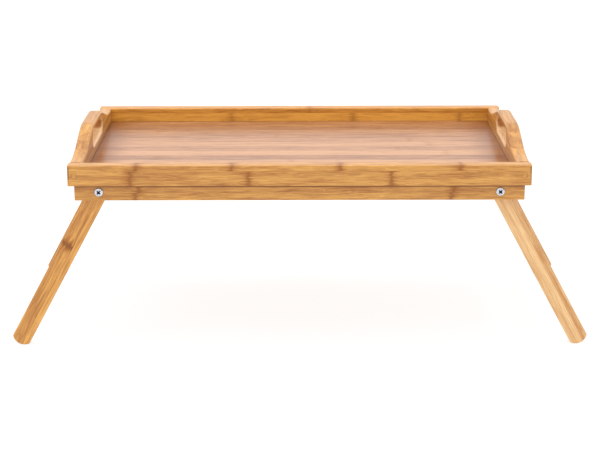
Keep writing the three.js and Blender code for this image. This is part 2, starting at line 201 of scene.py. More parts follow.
def turned(profile, sides):
    """A solid turned about z from (radius, height) pairs that begin and end on the axis."""
    solid = bmesh.new()
    rings = []
    for radius, height in profile:
        if radius == 0:
            rings.append([solid.verts.new((0, 0, height))])
            continue
        ring = []
        for side in range(sides):
            angle = 2 * math.pi * side / sides
            ring.append(solid.verts.new((radius * math.cos(angle), radius * math.sin(angle), height)))
        rings.append(ring)
    for below, above in zip(rings, rings[1:]):
        for side in range(sides):
            following = (side + 1) % sides
            corners = [below[side % len(below)], below[following % len(below)]]
            corners += [above[following % len(above)], above[side % len(above)]]
            solid.faces.new(list(dict.fromkeys(corners)))
    bmesh.ops.recalc_face_normals(solid, faces=solid.faces)
    return solid


def thread(radius, depth, pitch, low, high, sides=32, steps_a_turn=8):
    """A threaded rod along z, its ridges following one helix, with a flat face at each end."""
    solid = bmesh.new()
    count = max(2, round((high - low) / pitch * steps_a_turn))
    rings = []
    for step in range(count + 1):
        height = low + (high - low) * step / count
        fade = min(1.0, (high - height) / pitch)
        ring = []
        for side in range(sides):
            turn = side / sides
            ridge = abs(2 * ((height / pitch - turn) % 1) - 1)
            reach = radius - depth * (1 - ridge * fade)
            angle = 2 * math.pi * turn
            ring.append(solid.verts.new((reach * math.cos(angle), reach * math.sin(angle), height)))
        rings.append(ring)
    for below, above in zip(rings, rings[1:]):
        for side in range(sides):
            following = (side + 1) % sides
            solid.faces.new((below[side], below[following], above[following], above[side]))
    solid.faces.new(rings[0])
    solid.faces.new(rings[-1])
    bmesh.ops.recalc_face_normals(solid, faces=solid.faces)
    return solid


def to_object(name, solid):
    mesh = bpy.data.meshes.new(name)
    solid.to_mesh(mesh)
    solid.free()
    obj = bpy.data.objects.new(name, mesh)
    bpy.context.scene.collection.objects.link(obj)
    return obj


def baked(obj):
    """Replaces the object's mesh by the result of its modifiers."""
    bpy.context.view_layer.update()
    depsgraph = bpy.context.evaluated_depsgraph_get()
    result = bpy.data.meshes.new_from_object(obj.evaluated_get(depsgraph))
    obj.modifiers.clear()
    obj.data = result
    result.name = obj.name


def combined(obj, operation, *solids):
    """Cuts or joins solids, given in the object's own axes."""
    for solid in solids:
        tool = to_object("tool", solid)
        modifier = obj.modifiers.new("combine", "BOOLEAN")
        modifier.operation = operation
        modifier.solver = "EXACT"
        modifier.object = tool
        baked(obj)
        bpy.data.objects.remove(tool)
    return obj


def at(solid, matrix):
    bmesh.ops.transform(solid, matrix=matrix, verts=solid.verts)
    return solid


def block(x0, x1, y0, y1, z0, z1):
    """A sharp cutting block."""
    solid = bmesh.new()
    bmesh.ops.create_cube(solid, size=1)
    middle = Matrix.Translation(((x0 + x1) / 2, (y0 + y1) / 2, (z0 + z1) / 2))
    return at(solid, middle @ Matrix.Diagonal((x1 - x0, y1 - y0, z1 - z0, 1)))


def bore(radius, low, high):
    """A round cutting rod about z."""
    return turned([(0, low), (radius, low), (radius, high), (0, high)], FACETS["small"])


# ---------------------------------------------------------------- placing

# The own axes of a piece whose grain runs along the tray, and of one whose grain runs across it.
GRAIN_X = Matrix(((1, 0, 0), (0, 0, -1), (0, 1, 0))).to_4x4()
GRAIN_Y = Matrix(((0, 0, 1), (1, 0, 0), (0, 1, 0))).to_4x4()


def inward_axes(side):
    """Left-handed axes whose z points from the face of a front or back rail toward the tray's middle."""
    return Matrix(((-side, 0, 0), (0, 0, -side), (0, 1, 0))).to_4x4()


def leg_axes(end):
    """A leg's own x runs from its pivot to its foot, and its z points to the front."""
    splay = splay_of(end)
    along = Vector((end * math.sin(splay), 0, -math.cos(splay)))
    through = Vector((0, -1, 0))
    across = through.cross(along)
    return Matrix((along, across, through)).transposed().to_4x4()


def joint_of(end):
    wanted = "left_leg_fold" if end < 0 else "right_leg_fold"
    return next(joint for joint in frame["joints"] if joint["name"] == wanted)


def pivot_of(end):
    return Vector(joint_of(end)["pos_m"])


def splay_of(end):
    """How far a leg stands out from straight down: its fold turns through that angle and 90 degrees."""
    return math.radians(joint_of(end)["range_deg"][1] - 90)


def own_box(node, matrix):
    """The node's box in a piece's own axes, when those lie along the frame's axes."""
    corners = [matrix.inverted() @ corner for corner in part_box(node)]
    low = Vector(min(values) for values in zip(*corners))
    high = Vector(max(values) for values in zip(*corners))
    return low, high


def centred(node, turn):
    """The turn, with its origin moved to the middle of the node's box."""
    low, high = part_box(node)
    return Matrix.Translation((low + high) / 2) @ turn


SHARP_ANGLE = math.radians(40)


def finish_piece(obj, node, body, matrix, material, second=None):
    """Smooths the shading, places the piece, ties it to its body and hides the CAD node that it replaces.

    second is a second material for some of the faces, with a test that finds them.
    """
    obj.data.shade_smooth()
    obj.data.set_sharp_from_angle(angle=SHARP_ANGLE)
    normals = obj.modifiers.new("normals", "WEIGHTED_NORMAL")
    normals.keep_sharp = True
    baked(obj)
    obj.data.materials.clear()
    obj.data.materials.append(material)
    if second:
        other_material, has_other = second
        obj.data.materials.append(other_material)
        for face in obj.data.polygons:
            face.material_index = 1 if has_other(face) else 0
    obj.matrix_world = matrix
    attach(obj, body)
    if node:
        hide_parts(node)
    return obj


# ---------------------------------------------------------------- materials

def srgb(red, green, blue):
    """A display colour, from 0 to 255, as linear light with alpha."""
    linear = []
    for value in (red, green, blue):
        share = value / 255
        linear.append(share / 12.92 if share <= 0.04045 else ((share + 0.055) / 1.055) ** 2.4)
    return (*linear, 1.0)


KNOT = srgb(162, 94, 0)
# A knot's dark core, also used for the painted shadow line and the painted shade toward the ends.
KNOT_CORE_AND_SHADE = srgb(122, 62, 0)
# The colours of each wood where it is lightest and darkest.
TRAY_WOOD = (srgb(226, 166, 82), srgb(156, 92, 24))
GOLDEN_WOOD = (srgb(242, 176, 74), srgb(176, 106, 18))
AMBER_WOOD = (srgb(240, 178, 90), srgb(166, 100, 30))
PALE_WOOD = (srgb(246, 204, 147), srgb(194, 134, 72))
PANEL_WOOD = (srgb(204, 148, 102), srgb(138, 86, 46))
# A lighter wood, painted light on the walls inside the hand holes.
PAINTED_LIGHT_HOLE_WOOD = (srgb(250, 212, 164), srgb(206, 154, 94))


class Shade:
    """A material whose nodes are added by short calls that return sockets."""

    def __init__(self, name):
        self.material = bpy.data.materials.new(name)
        self.material.use_nodes = True
        self.tree = self.material.node_tree
        self.shader = self.tree.nodes["Principled BSDF"]
        coordinates = self.node("ShaderNodeTexCoord")
        self.place = coordinates.outputs["Object"]
        self.normal = coordinates.outputs["Normal"]

    def node(self, kind, inputs=None, **settings):
        node = self.tree.nodes.new(kind)
        for key, value in settings.items():
            setattr(node, key, value)
        for key, value in (inputs or {}).items():
            self.plug(node.inputs[key], value)
        return node

    def plug(self, socket, value):
        if isinstance(value, bpy.types.NodeSocket):
            self.tree.links.new(value, socket)
        else:
            socket.default_value = value

    def math(self, operation, *values):
        return self.node("ShaderNodeMath", dict(enumerate(values)), operation=operation).outputs[0]

    def stretched(self, x, y, z, seed=0.0, vector=None):
        """Coordinates in which one unit is x, y and z metres long on the three axes, moved by the seed."""
        inputs = {0: vector or self.place, 1: (1 / x, 1 / y, 1 / z), 2: (seed, seed * 1.7, seed * 2.3)}
        return self.node("ShaderNodeVectorMath", inputs, operation="MULTIPLY_ADD").outputs[0]

    def noise(self, vector, detail=2.0, roughness=0.5):
        inputs = {"Vector": vector, "Scale": 1.0, "Detail": detail, "Roughness": roughness}
        return self.node("ShaderNodeTexNoise", inputs).outputs["Fac"]

    def white(self, value):
        return self.node("ShaderNodeTexWhiteNoise", {"W": value}, noise_dimensions="1D").outputs["Value"]

    def fit(self, value, low, high, to_low=0.0, to_high=1.0, smooth=True):
        """The value from low..high fitted to another range, and held at its ends."""
        kind = "SMOOTHSTEP" if smooth else "LINEAR"
        inputs = {0: value, 1: low, 2: high, 3: to_low, 4: to_high}
        return self.node("ShaderNodeMapRange", inputs, interpolation_type=kind).outputs[0]

    def mix(self, factor, first, second):
        node = self.node("ShaderNodeMix", data_type="RGBA")
        self.plug(node.inputs[0], factor)
        self.plug(node.inputs[6], first)
        self.plug(node.inputs[7], second)
        return node.outputs[2]

    def surface(self, color, roughness, height, distance, **constants):
        """Finishes the material: colour, roughness and bump from sockets, the rest as plain numbers."""
        self.plug(self.shader.inputs["Base Color"], color)
        self.plug(self.shader.inputs["Roughness"], roughness)
        bump = self.node("ShaderNodeBump", {"Height": height, "Distance": distance, "Strength": 1.0})
        self.plug(self.shader.inputs["Normal"], bump.outputs["Normal"])
        for name, value in constants.items():
            self.shader.inputs[name.replace("_", " ")].default_value = value
        return self.material


# A distance in metres at which a knot no longer shows.
NO_KNOT = 1.0


def knot_distance(shade, along, strip, knots, spacing, seed):
    """How far a point is from the nearest knot of its strip, in metres."""
    if knots is None:
        phase = shade.white(shade.math("ADD", strip, seed))
        turns = shade.math("ADD", shade.math("DIVIDE", along, spacing), phase)
        share = shade.math("ABSOLUTE", shade.math("SUBTRACT", shade.math("FRACT", turns), 0.5))
        return shade.math("MULTIPLY", share, spacing)
    nearest = NO_KNOT
    for number, places in knots.items():
        # This is 1 in the other strips, which takes their knots a metre away.
        other = shade.math("SUBTRACT", 1.0, shade.math("COMPARE", strip, number, 0.5))
        for place in places:
            distance = shade.math("ABSOLUTE", shade.math("SUBTRACT", along, place * MM))
            distance = shade.math("ADD", distance, other)
            nearest = shade.math("MINIMUM", nearest, distance)
    return nearest


def strip_tone(shade, strip, tones, seed):
    """A tone from 0 to 1 for each strip: the given ones, and a random one for the rest."""
    tone = shade.white(shade.math("ADD", strip, seed * 3.1))
    for number, value in (tones or {}).items():
        chosen = shade.math("COMPARE", strip, number, 0.5)
        difference = shade.math("SUBTRACT", value, tone)
        tone = shade.math("MULTIPLY_ADD", chosen, difference, tone)
    return tone


# The noises that draw the wood: their size along, across and through it, how far their seed is from
# the wood's own, their detail and their roughness.
WOOD_NOISES = {
    "zigzag": ((20 * MM, 2 * MM, 3 * MM), 0, 2.0, 0.5),
    "fray": ((30 * MM, 1.1 * MM, 1.4 * MM), 7, 2.0, 0.5),
    "drift": ((40 * MM, 8 * MM, 8 * MM), 4, 1.0, 0.5),
    "broad": ((75 * MM, 5 * MM, 5 * MM), 1, 2.0, 0.5),
    "streaks": ((24 * MM, 1.1 * MM, 1.1 * MM), 2, 3.0, 0.65),
    "fibres": ((20 * MM, 0.35 * MM, 0.35 * MM), 3, 2.0, 0.6),
    "specks": ((9 * MM, 0.45 * MM, 0.45 * MM), 5, 1.0, 0.5),
}
# Most values of a noise lie in this range.
NOISE_RANGE = (0.3, 0.7)
# How a knot wanders along its strip, how far its tails and its swelling reach, and how it bends fibres.
KNOT_SHAPE = {"wander": 8 * MM, "tails": (18 * MM, 2 * MM), "swell": 22 * MM, "bend": 6 * MM}
FIBRE_BEND = 5 * MM
# How far the fibres of each strip are moved along from the next one's, in metres.
STRIP_STEP = 0.37
GLUE_WIDTH = 0.22 * MM
# How much each feature adds to the wood's lightness, to its relief and to its cover of dark colour.
LIGHTNESS = {"broad": 0.4, "fibres": 0.3, "specks": -0.16}
RELIEF = {"fibres": 0.5, "streaks": 0.3, "glue": -0.4, "knots": -0.5}
# The cover also holds the painted shadow line and the painted shade toward the ends.
COVER = {"tails": 0.6, "core": 0.7, "glue": 0.35, "seam": 0.9, "painted_end_shade": 0.75}
WOOD_BUMP = 0.1 * MM


def bamboo(name, seed, light, dark, strip_width, strip_shift=0.0, tones=None, tone_spread=0.25, streak=0.5,
           grain_length=1.0, knots=None, knot_spacing=0.2, knot_width=8 * MM, knot_strength=0.65,
           end_grain=0.4, seam=None, painted_end_shade=None, gloss=0.24, lacquer=0.6):
    """Laminated bamboo under lacquer: strips side by side across y, with fibres along x.

    Each strip has its own tone and its own knots, at the given places in millimetres or evenly spaced.
    Two options paint shade: one gives where a painted shadow line begins and ends across the piece, the
    other where painted shade begins along it and where it is darkest.
    """
    shade = Shade(name)
    split = shade.node("ShaderNodeSeparateXYZ", {0: shade.place})
    along, across = split.outputs[0], split.outputs[1]
    row = shade.math("DIVIDE", shade.math("SUBTRACT", across, strip_shift), strip_width)
    strip = shade.math("FLOOR", row)
    share = shade.math("FRACT", row)
    tone = strip_tone(shade, strip, tones, seed)

    def wood_noise(kind, vector=None, lengthened=1.0):
        (x, y, z), own_seed, detail, roughness = WOOD_NOISES[kind]
        return shade.noise(shade.stretched(x * lengthened, y, z, seed + own_seed, vector), detail, roughness)

    # Knots: a frayed, wandering band across the strip, with dark tails along the fibres.
    zigzag = shade.math("SUBTRACT", wood_noise("zigzag"), 0.5)
    fray = wood_noise("fray")
    wandered = shade.math("MULTIPLY_ADD", zigzag, KNOT_SHAPE["wander"], along)
    from_knot = knot_distance(shade, wandered, strip, knots, knot_spacing, seed)
    frayed = shade.math("DIVIDE", from_knot, shade.fit(fray, *NOISE_RANGE, 0.5, 1.5))
    band = shade.fit(frayed, knot_width, 0.15 * knot_width)
    core = shade.fit(frayed, 0.45 * knot_width, 0.0)
    tails = shade.math("MULTIPLY", shade.fit(from_knot, *KNOT_SHAPE["tails"]), shade.fit(fray, 0.46, 0.66))
    swell = shade.fit(from_knot, KNOT_SHAPE["swell"], 0.0)

    # Fibres: coordinates that drift sideways a little along the piece, and more beside a knot.
    drift = shade.math("SUBTRACT", wood_noise("drift"), 0.5)
    bending = shade.math("MULTIPLY_ADD", swell, KNOT_SHAPE["bend"], FIBRE_BEND)
    sideways = shade.math("MULTIPLY", drift, bending)
    own_start = shade.math("MULTIPLY", strip, STRIP_STEP)
    offset = shade.node("ShaderNodeCombineXYZ", {0: own_start, 1: sideways, 2: sideways}).outputs[0]
    bent = shade.node("ShaderNodeVectorMath", {0: shade.place, 1: offset}, operation="ADD").outputs[0]
    broad = wood_noise("broad", bent, grain_length)
    streaks = wood_noise("streaks", bent, grain_length)
    fibres = wood_noise("fibres", bent, grain_length)
    specks = shade.fit(wood_noise("specks", bent), 0.62, 0.75)

    value = shade.math("MULTIPLY", shade.fit(streaks, *NOISE_RANGE), streak)
    value = shade.math("MULTIPLY_ADD", shade.fit(broad, *NOISE_RANGE), LIGHTNESS["broad"], value)
    value = shade.math("MULTIPLY_ADD", fibres, LIGHTNESS["fibres"], value)
    value = shade.math("MULTIPLY_ADD", shade.math("SUBTRACT", tone, 0.5), tone_spread, value)
    value = shade.math("MULTIPLY_ADD", specks, LIGHTNESS["specks"], value)
    color = shade.mix(shade.fit(value, 0.1, 1.05, smooth=False), dark, light)

    # Darkening over it: knots, glue lines, end grain, and if asked a painted shadow line and painted shade.
    color = shade.mix(shade.math("MULTIPLY", tails, COVER["tails"] * knot_strength), color, KNOT)
    color = shade.mix(shade.math("MULTIPLY", band, knot_strength), color, KNOT)
    color = shade.mix(shade.math("MULTIPLY", core, COVER["core"] * knot_strength), color, KNOT_CORE_AND_SHADE)
    edge = shade.math("ABSOLUTE", shade.math("SUBTRACT", share, 0.5))
    glue = shade.fit(edge, 0.5 - GLUE_WIDTH / strip_width, 0.5)
    color = shade.mix(shade.math("MULTIPLY", glue, COVER["glue"]), color, KNOT)
    facing = shade.node("ShaderNodeSeparateXYZ", {0: shade.normal}).outputs[0]
    cut_across = shade.fit(shade.math("ABSOLUTE", facing), 0.6, 0.95)
    color = shade.mix(shade.math("MULTIPLY", cut_across, end_grain), color, KNOT)
    # A painted shadow line across the piece.
    if seam:
        color = shade.mix(shade.fit(across, *seam, 0.0, COVER["seam"]), color, KNOT_CORE_AND_SHADE)
    # Painted shade toward both ends along the piece.
    if painted_end_shade:
        shade_toward_ends = shade.fit(shade.math("ABSOLUTE", along), *painted_end_shade, 0.0, COVER["painted_end_shade"])
        color = shade.mix(shade_toward_ends, color, KNOT_CORE_AND_SHADE)

    height = shade.math("MULTIPLY", streaks, RELIEF["streaks"])
    height = shade.math("MULTIPLY_ADD", fibres, RELIEF["fibres"], height)
    height = shade.math("MULTIPLY_ADD", glue, RELIEF["glue"], height)
    height = shade.math("MULTIPLY_ADD", core, RELIEF["knots"], height)
    roughness = shade.fit(fibres, 0.2, 0.8, 0.42, 0.58)
    roughness = shade.math("MULTIPLY_ADD", band, 0.1, roughness)
    constants = {"Coat_Weight": lacquer, "Coat_Roughness": gloss, "Specular_IOR_Level": 0.3}
    return shade.surface(color, roughness, height, WOOD_BUMP, **constants)


def metal(name, color, worn, smoothest, roughest):
    """Plated metal: faint blotches and fine scratches in its gloss."""
    shade = Shade(name)
    blotch = shade.noise(shade.stretched(1.6 * MM, 1.6 * MM, 1.6 * MM, seed=3.0), detail=3.0)
    scratch = shade.noise(shade.stretched(3 * MM, 0.12 * MM, 0.12 * MM, seed=7.0), detail=2.0)
    wear = shade.math("MULTIPLY_ADD", scratch, 0.5, shade.math("MULTIPLY", blotch, 0.5))
    roughness = shade.fit(wear, 0.35, 0.65, smoothest, roughest)
    tint = shade.mix(shade.fit(blotch, 0.4, 0.75), color, worn)
    return shade.surface(tint, roughness, scratch, 0.01 * MM, Metallic=1.0)


def plastic(name, color, shadow):
    """Moulded nylon with a fine satin texture."""
    shade = Shade(name)
    grain = shade.noise(shade.stretched(0.4 * MM, 0.4 * MM, 0.4 * MM, seed=2.0), detail=3.0)
    cloud = shade.noise(shade.stretched(5 * MM, 5 * MM, 5 * MM, seed=5.0), detail=2.0)
    tint = shade.mix(shade.fit(cloud, *NOISE_RANGE), shadow, color)
    roughness = shade.fit(grain, *NOISE_RANGE, 0.4, 0.55)
    return shade.surface(tint, roughness, grain, 0.03 * MM)


chrome = metal("chrome", srgb(226, 228, 234), srgb(120, 124, 140), 0.08, 0.22)
zinc = metal("zinc", srgb(196, 196, 192), srgb(150, 150, 146), 0.28, 0.45)
# A dark metal for the faces inside the cross recesses, as painted shade.
painted_recess_shade = metal("painted_recess_shade", srgb(46, 46, 72), srgb(28, 28, 44), 0.4, 0.6)
nylon = plastic("nylon", srgb(236, 234, 226), srgb(222, 219, 208))
nylon_insert = plastic("nylon_insert", srgb(214, 214, 206), srgb(196, 196, 186))


# ---------------------------------------------------------------- tray

def screw_cutter(node, to_own):
    """The countersunk hole of a wood screw, in a piece's own axes."""
    low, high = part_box(node)
    middle = (low + high) / 2
    clearance = 0.2 * MM
    head = (high.x - low.x) / 2 + clearance
    shank = SCREW["shank"] / 2 + clearance
    depth = high.z - low.z
    mouth = -2 * OVERSHOOT
    profile = [(0, mouth), (head, mouth), (head, SCREW["rim"]), (shank, SCREW["head_depth"])]
    profile += [(shank, depth), (0, depth + clearance)]
    place = Matrix.Translation((middle.x, middle.y, low.z))
    return at(turned(profile, FACETS["countersink"]), to_own @ place)


def screw_names(row, count):
    return [f"{row}_screw_{number}" for number in range(1, count + 1)]


def screw_cutters(row, count, place):
    return [screw_cutter(name, place.inverted()) for name in screw_names(row, count)]


def groove_heights(place):
    """Where the groove for the panel's tongue begins and ends across a piece, in its own axes."""
    underside = own_box("base_panel", place)[0].y
    return underside - GROOVE["clearance"], underside + TONGUE["thickness"] + GROOVE["clearance"]


def rail(name, side, material):
    place = centred(name, GRAIN_X)
    low, high = own_box(name, place)
    steps = 5
    outline = rectangle(low.x, high.x, low.y, high.y, RAIL_EDGE, steps)
    weights = [1.0 if point.y > 0 else RAIL_EDGE / RAIL_TOP_EDGE for point in outline]
    solid = extruded(outline, low.z, high.z, RAIL_TOP_EDGE, (), steps, weights)
    obj = to_object(name, solid)
    cutters = []
    for end_name in ENDS:
        pin_low, pin_high = own_box(f"{name.split('_')[0]}_{end_name}_corner_pin", place)
        middle = (pin_low + pin_high) / 2
        hole = bore((pin_high.x - pin_low.x) / 2 + PIN["clearance"], low.z - OVERSHOOT, high.z + OVERSHOOT)
        cutters.append(at(hole, Matrix.Translation((middle.x, middle.y, 0))))
    reach = own_box("base_panel", place)[1].x + GROOVE["clearance"]
    inner = low.z - OVERSHOOT if side < 0 else high.z - GROOVE["depth"]
    outer = low.z + GROOVE["depth"] if side < 0 else high.z + OVERSHOOT
    cutters.append(block(-reach, reach, *groove_heights(place), inner, outer))
    cutters += screw_cutters(name, RAIL_SCREWS, place)
    combined(obj, "DIFFERENCE", *cutters)
    return finish_piece(obj, name, "tray", place, material)


FRONT_RAIL_KNOTS = {1: (-176, -73, 44, 173), 0: (-182.5, -55, 99)}
BACK_RAIL_KNOTS = {0: (-85, 67, 200), 1: (13,)}


def rail_wood(name, seed, light, dark, knots, knot_strength, tones, spread):
    """Wood for a rail of two layers, the upper one thinner."""
    low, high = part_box("front_rail")
    half = (high.z - low.z) / 2
    lower_strip = 2 * half - STRIPS["rail_top"]
    return bamboo(name, seed, light, dark, lower_strip, -half, tones=tones, tone_spread=spread,
                  knots=knots, knot_strength=knot_strength)


front_wood = rail_wood("front_rail_wood", SEEDS["front_rail"], *TRAY_WOOD, FRONT_RAIL_KNOTS,
                       knot_strength=0.65, tones={0: 0.5, 1: 0.6}, spread=0.25)
back_wood = rail_wood("back_rail_wood", SEEDS["back_rail"], *GOLDEN_WOOD, BACK_RAIL_KNOTS,
                      knot_strength=0.3, tones={0: 0.95, 1: 0.3}, spread=0.8)
rail("front_rail", -1, front_wood)
rail("back_rail", 1, back_wood)


def end_board_outline(low, high, rail_top):
    """The board seen from its side: level ends and a raised handle, about its own middle."""
    shoulder = HAND_HOLE["length"] / 2 - SHOULDER_INSET
    heel = high.x - HEEL_INSET
    fall = (high.y - rail_top) / (heel - shoulder)
    points = [Vector((low.x, low.y)), Vector((high.x, low.y)), Vector((high.x, rail_top))]
    half = bend(
        Vector((heel + HEEL_BLEND, rail_top)),
        Vector((heel, rail_top)),
        Vector((heel - HEEL_BLEND, rail_top + fall * HEEL_BLEND)),
    )
    half += bend(
        Vector((shoulder + SHOULDER_BLEND, high.y - fall * SHOULDER_BLEND)),
        Vector((shoulder, high.y)),
        Vector((shoulder - SHOULDER_BLEND, high.y)),
    )
    points += half
    points += [Vector((-point.x, point.y)) for point in reversed(half)]
    points.append(Vector((low.x, rail_top)))
    return points


def hand_hole_outline(top):
    radius = HAND_HOLE["height"] / 2
    centre = HAND_HOLE["length"] / 2 - radius
    middle = top - HAND_HOLE["below_top"] - radius
    outline = arc(centre, middle, radius, -90, 90, 16) + arc(-centre, middle, radius, 90, 270, 16)
    return outline[::-1]


def hand_hole_walls(high):
    """A test for the faces inside the hand hole of a board whose own box ends at high."""
    top = high.y - HAND_HOLE["below_top"]
    bottom = top - HAND_HOLE["height"] - BOARD_EDGE
    reach = HAND_HOLE["length"] / 2 + BOARD_EDGE
    flat_margin = 0.1 * MM

    def inside(face):
        x, y, z = face.center
        return abs(x) < reach and bottom < y < top + BOARD_EDGE / 2 and abs(z) < high.z - flat_margin
    return inside


def end_board(end_name, end, material, painted_light_hole_material):
    name = f"{end_name}_end_board"
    place = centred(name, GRAIN_Y)
    low, high = own_box(name, place)
    rail_top = (place.inverted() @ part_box("front_rail")[1]).y
    outline = end_board_outline(low, high, rail_top)
    # The first two points are the lower corners, which stay nearly sharp.
    weights = [BOARD_FOOT_SHARE if index < 2 else 1.0 for index in range(len(outline))]
    hole = hand_hole_outline(high.y)
    obj = to_object(name, extruded(outline, low.z, high.z, BOARD_EDGE, [hole], 6, weights))
    inner = high.z - GROOVE["depth"] if end < 0 else low.z - OVERSHOOT
    outer = inner + GROOVE["depth"] + OVERSHOOT
    cutters = [block(low.x - OVERSHOOT, high.x + OVERSHOOT, *groove_heights(place), inner, outer)]
    for side_name in SIDES:
        pin_low, pin_high = own_box(f"{side_name}_{end_name}_corner_pin", place)
        half = (pin_high.x - pin_low.x) / 2
        pin_hole = bore((pin_high.y - pin_low.y) / 2 + PIN["clearance"], -half, half)
        lying = Matrix.Translation((pin_low + pin_high) / 2) @ Matrix.Rotation(math.pi / 2, 4, "Y")
        cutters.append(at(pin_hole, lying))
    cutters += screw_cutters(f"{end_name}_batten", BATTEN_SCREWS, place)
    combined(obj, "DIFFERENCE", *cutters)
    # The walls inside the hand hole take the second material, a lighter wood as painted light.
    walls = hand_hole_walls(high)
    return finish_piece(obj, name, "tray", place, material, (painted_light_hole_material, walls))


for end_name, end in ENDS.items():
    wood = bamboo(f"{end_name}_board_wood", SEEDS["board"] + end, *TRAY_WOOD, STRIPS["board"],
                  tone_spread=0.4, streak=0.35, grain_length=2.5, knots={})
    # Inside the hand holes: a lighter wood as painted light, and end grain darkened more as painted shade.
    painted_light_hole_wood = bamboo(f"{end_name}_painted_light_hole_wood", SEEDS["hand_hole"] + end, *PAINTED_LIGHT_HOLE_WOOD,
                       STRIPS["board"], knots={}, end_grain=0.9)
    end_board(end_name, end, wood, painted_light_hole_wood)


def corner_pin(side_name, end_name, material):
    name = f"{side_name}_{end_name}_corner_pin"
    place = centred(name, inward_axes(SIDES[side_name]))
    low, high = own_box(name, place)
    radius = (high.x - low.x) / 2
    outline = []
    points_a_flute = 8
    for step in range(PIN["flutes"] * points_a_flute):
        angle = 2 * math.pi * step / (PIN["flutes"] * points_a_flute)
        reach = radius - PIN["flute_depth"] * (0.5 - 0.5 * math.cos(PIN["flutes"] * angle)) ** 2
        outline.append(Vector((reach * math.cos(angle), reach * math.sin(angle))))
    solid = extruded(outline, low.z, high.z, PIN["edge"], (), 3)
    # The pin is made along z and then laid along x, the way of the grain.
    turn = Matrix.Rotation(math.pi / 2, 4, "Y")
    obj = to_object(name, at(solid, turn.inverted()))
    return finish_piece(obj, name, "tray", place @ turn, material)


pin_wood = bamboo("pin_wood", SEEDS["pin"], *TRAY_WOOD, STRIPS["pin"], STRIPS["pin"] / 2,
                  knots={}, end_grain=0.12)
for side_name in SIDES:
    for end_name in ENDS:
        corner_pin(side_name, end_name, pin_wood)


def base_panel(material):
    """A plate with a thinner tongue all round that runs into the grooves."""
    name = "base_panel"
    place = centred(name, Matrix.Identity(4))
    low, high = own_box(name, place)
    outline = rectangle(low.x, high.x, low.y, high.y, PANEL["corner"], 2)
    obj = to_object(name, extruded(outline, low.z, low.z + TONGUE["thickness"], PANEL["edge"], (), 2))
    inner = TONGUE["length"]
    top = rectangle(low.x + inner, high.x - inner, low.y + inner, high.y - inner, PANEL["corner"], 2)
    plate = extruded(top, low.z + TONGUE["thickness"] / 2, high.z, PANEL["edge"], (), 2)
    combined(obj, "UNION", plate)
    return finish_piece(obj, name, "tray", place, material)


# From the back rail forward the strips grow lighter, with darker ones between them.
PANEL_TONES = {
    5: 0.3, 4: 0.15, 3: 0.4, 2: 0.35, 1: 0.5, 0: 0.75,
    -1: 0.5, -2: 0.95, -3: 0.25, -4: 0.85, -5: 0.5,
}
PANEL_SHIFT = 2.5 * MM
# How far from the middle the shade under the end boards begins, and where it is darkest.
PANEL_PAINTED_END_SHADE = (190 * MM, 237 * MM)
panel_wood = bamboo("panel_wood", SEEDS["panel"], *PANEL_WOOD, STRIPS["panel"], PANEL_SHIFT,
                    tones=PANEL_TONES, tone_spread=0.9, knot_spacing=0.43, knot_strength=0.12,
                    painted_end_shade=PANEL_PAINTED_END_SHADE, gloss=0.22, lacquer=0.65)
base_panel(panel_wood)


# ---------------------------------------------------------------- under-frame

LOWER_RAIL_KNOTS = {0: (-174, 167), -1: (-177, 164)}
# Where the painted shadow under the rail above begins and ends across each lower rail, near its top.
PAINTED_SEAM_SHADOW = (5.6 * MM, 7.4 * MM)


def lower_rail(side_name, material):
    name = f"{side_name}_lower_rail"
    place = centred(name, GRAIN_X)
    low, high = own_box(name, place)
    outline = rectangle(low.x, high.x, low.y, high.y, RAIL_EDGE, 5)
    obj = to_object(name, extruded(outline, low.z, high.z, RAIL_EDGE, (), 5))
    cutters = []
    for end in ENDS.values():
        pivot = place.inverted() @ pivot_of(end)
        hole = bore(HOLE_RADIUS, low.z - OVERSHOOT, high.z + OVERSHOOT)
        cutters.append(at(hole, Matrix.Translation((pivot.x, pivot.y, 0))))
    cutters += screw_cutters(f"{side_name}_rail", RAIL_SCREWS, place)
    combined(obj, "DIFFERENCE", *cutters)
    return finish_piece(obj, name, "tray", place, material)


for side_name, side in SIDES.items():
    knots = LOWER_RAIL_KNOTS if side < 0 else None
    wood = bamboo(f"{side_name}_lower_wood", SEEDS["lower_rail"] + side, *TRAY_WOOD,
                  STRIPS["lower"], knots=knots, seam=PAINTED_SEAM_SHADOW)
    lower_rail(side_name, wood)


def stop_batten(end_name, material):
    name = f"{end_name}_stop_batten"
    place = centred(name, GRAIN_Y)
    low, high = own_box(name, place)
    outline = rectangle(low.x, high.x, low.y, high.y, SMALL_EDGE, 3)
    obj = to_object(name, extruded(outline, low.z, high.z, SMALL_EDGE, (), 3))
    combined(obj, "DIFFERENCE", *screw_cutters(f"{end_name}_batten", BATTEN_SCREWS, place))
    return finish_piece(obj, name, "tray", place, material)


for end_name, end in ENDS.items():
    wood = bamboo(f"{end_name}_batten_wood", SEEDS["batten"] + end, *TRAY_WOOD, STRIPS["lower"])
    stop_batten(end_name, wood)


# ---------------------------------------------------------------- leg frames

LEFT_LEG_KNOTS = {-2: (74.5,), -1: (76,)}
LEFT_LEG_TONES = {-2: 0.35, -1: 0.35, 0: 0.8}
RIGHT_LEG_TONES = {-2: 0.6, -1: 0.95, 0: 0.1}


